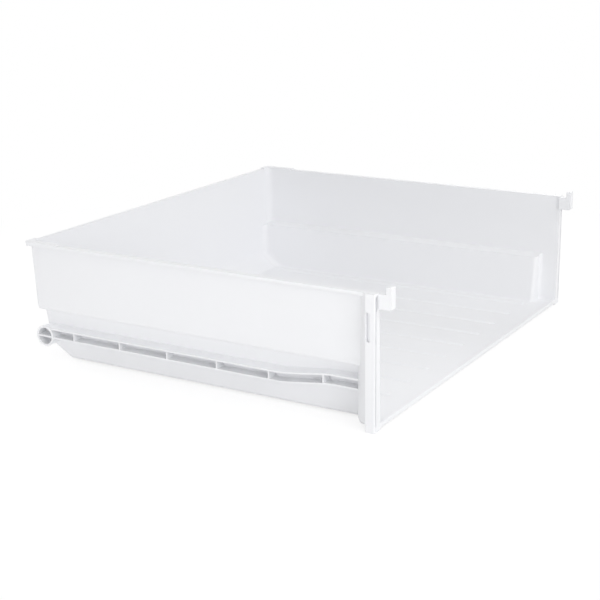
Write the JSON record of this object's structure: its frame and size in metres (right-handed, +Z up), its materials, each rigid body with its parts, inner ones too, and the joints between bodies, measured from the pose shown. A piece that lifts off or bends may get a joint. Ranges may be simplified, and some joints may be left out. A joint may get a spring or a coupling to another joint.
{
  "type": "refrigerator crisper drawer",
  "caption": "Wide shallow white moulded drawer pan with an open front, ribbed floor, stepped side walls with slide rails, turned-out rim and front posts with hooks for a cover.",
  "frame": {"origin": "centre of the drawer's outer box at the height of the front posts' feet", "axes": "+Z up, -Y out of the open front, +X to the right when looking at the front"},
  "size_m": [0.4792, 0.426, 0.1387],
  "materials": {
    "white_plastic": "satin moulded plastic, plain white"
  },
  "bodies": {
    "root": {"crisper_drawer": "white_plastic"}
  },
  "joints": []
}
